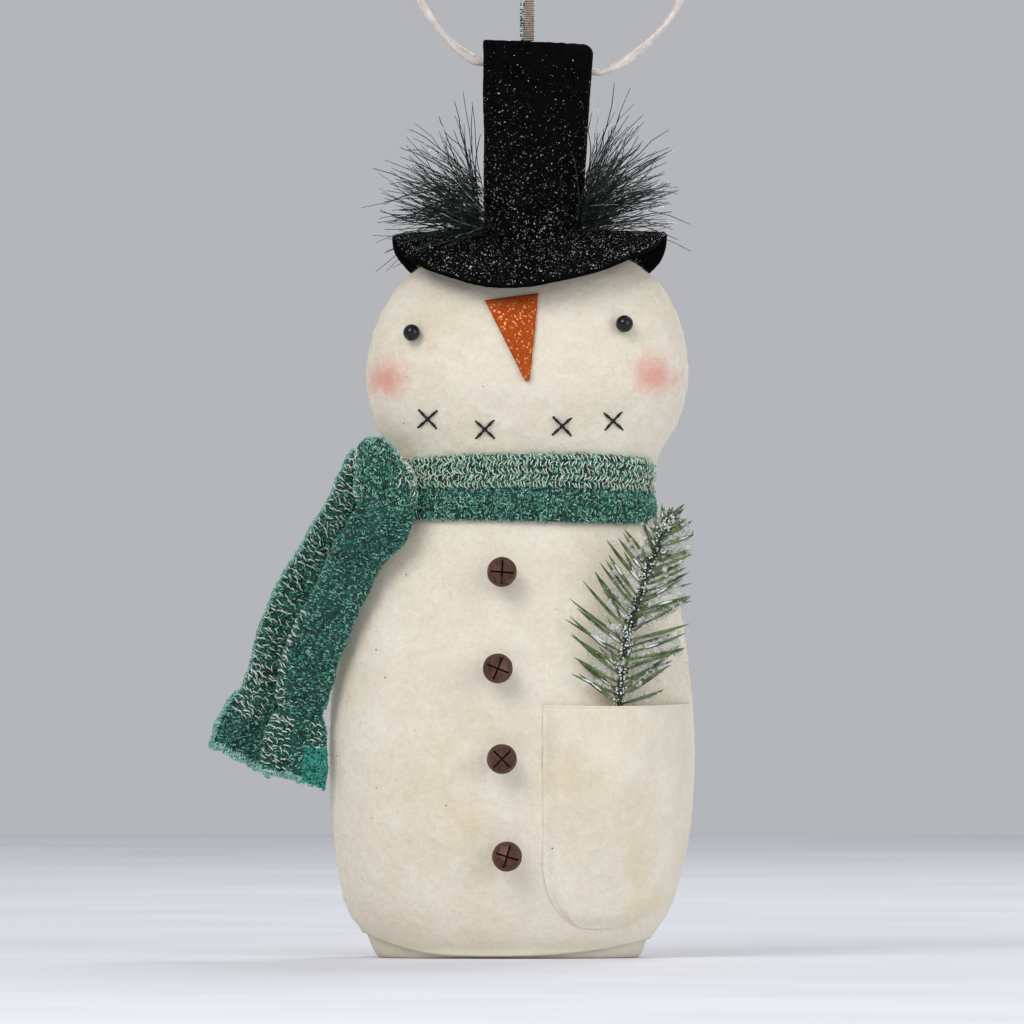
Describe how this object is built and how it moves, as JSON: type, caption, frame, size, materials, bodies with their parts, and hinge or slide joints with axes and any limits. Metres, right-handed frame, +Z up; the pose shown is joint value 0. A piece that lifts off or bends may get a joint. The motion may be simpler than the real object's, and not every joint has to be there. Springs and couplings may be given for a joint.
{
  "type": "stuffed snowman figure",
  "caption": "Stuffed cloth snowman with a felt top hat, knitted scarf, jingle bell buttons, a pocket with a pine sprig and a hanging hoop.",
  "frame": {"origin": "middle of the flat base, on the surface it stands on", "axes": "+Z up, the front faces -Y, +X is to the right seen from the front (the pocket's side)"},
  "size_m": [0.1653, 0.0895, 0.3988],
  "materials": {
    "batting": "napped cream cotton batting cloth",
    "filling": "loose polyester fibre",
    "weight": "cloth bag of pellets",
    "black_felt": "black felt with silver glitter",
    "orange_felt": "orange felt with gold glitter",
    "knit": "green rib knit, marled with cream",
    "bead": "polished black bead",
    "thread": "black embroidery thread",
    "rust": "rusted stamped steel",
    "pellet": "plain",
    "tinsel": "dark metallic filament",
    "pine": "moulded needles with snow flock",
    "plywood": "sanded plywood",
    "ribbon": "satin and grosgrain ribbon"
  },
  "bodies": {
    "figure": {"body_front_panel": "batting", "body_back_panel": "batting", "base_panel": "batting", "base_board": "plywood", "weight_bag": "weight", "body_stuffing": "filling", "hat_crown": "black_felt", "hat_stuffing": "filling", "hat_brim": "black_felt", "garland_wire": "tinsel", "garland_tinsel": "tinsel", "eye_left": "bead", "eye_right": "bead", "nose": "orange_felt", "mouth_stitch_1": "thread", "mouth_stitch_2": "thread", "mouth_stitch_3": "thread", "mouth_stitch_4": "thread", "scarf_neck_band": "knit", "scarf_knot": "knit", "pocket_patch": "batting", "hanger_ribbon": "ribbon"},
    "hanger": {"hanger_hoop": "ribbon", "hanger_knot": "ribbon"},
    "sprig": {"sprig_stem": "pine", "sprig_needles": "pine"},
    "outer_tail": {"scarf_tail_outer": "knit"},
    "inner_tail": {"scarf_tail_inner": "knit"},
    "bell_1": {"bell_1_shell": "rust", "bell_1_loop": "rust"},
    "bell_1_pellet": {"bell_1_pellet": "pellet"},
    "bell_2": {"bell_2_shell": "rust", "bell_2_loop": "rust"},
    "bell_2_pellet": {"bell_2_pellet": "pellet"},
    "bell_3": {"bell_3_shell": "rust", "bell_3_loop": "rust"},
    "bell_3_pellet": {"bell_3_pellet": "pellet"},
    "bell_4": {"bell_4_shell": "rust", "bell_4_loop": "rust"},
    "bell_4_pellet": {"bell_4_pellet": "pellet"}
  },
  "joints": [
    {"name": "hanger_swing", "type": "hinge", "parent": "figure", "child": "hanger", "pos_m": [0.0087, 0, 0.30265], "axis": [0.9954, 0, -0.0958], "range_deg": [-75, 75]},
    {"name": "sprig_lift", "type": "slide", "parent": "figure", "child": "sprig", "axis": [0.0563, 0, 0.9984], "range_m": [0, 0.045]},
    {"name": "outer_tail_swing", "type": "hinge", "parent": "figure", "child": "outer_tail", "pos_m": [-0.053, -0.0085, 0.163], "axis": [0, 1, 0], "range_deg": [0, 40]},
    {"name": "inner_tail_swing", "type": "hinge", "parent": "figure", "child": "inner_tail", "pos_m": [-0.042, -0.029, 0.14], "axis": [0, 1, 0], "range_deg": [0, 40]},
    {"name": "bell_1_turn", "type": "hinge", "parent": "figure", "child": "bell_1", "pos_m": [-0.0034, -0.03558, 0.1312], "axis": [0, 1, 0], "range_deg": [-60, 60]},
    {"name": "bell_1_rattle", "type": "slide", "parent": "bell_1", "child": "bell_1_pellet", "axis": [0, 0, 1], "range_m": [0, 0.0048]},
    {"name": "bell_2_turn", "type": "hinge", "parent": "figure", "child": "bell_2", "pos_m": [-0.0048, -0.04184, 0.0986], "axis": [0, 1, 0], "range_deg": [-60, 60]},
    {"name": "bell_2_rattle", "type": "slide", "parent": "bell_2", "child": "bell_2_pellet", "axis": [0, 0, 1], "range_m": [0, 0.0048]},
    {"name": "bell_3_turn", "type": "hinge", "parent": "figure", "child": "bell_3", "pos_m": [-0.0034, -0.04476, 0.068], "axis": [0, 1, 0], "range_deg": [-60, 60]},
    {"name": "bell_3_rattle", "type": "slide", "parent": "bell_3", "child": "bell_3_pellet", "axis": [0, 0, 1], "range_m": [0, 0.0048]},
    {"name": "bell_4_turn", "type": "hinge", "parent": "figure", "child": "bell_4", "pos_m": [-0.0017, -0.04423, 0.035], "axis": [0, 1, 0], "range_deg": [-60, 60]},
    {"name": "bell_4_rattle", "type": "slide", "parent": "bell_4", "child": "bell_4_pellet", "axis": [0, 0, 1], "range_m": [0, 0.0048]}
  ]
}
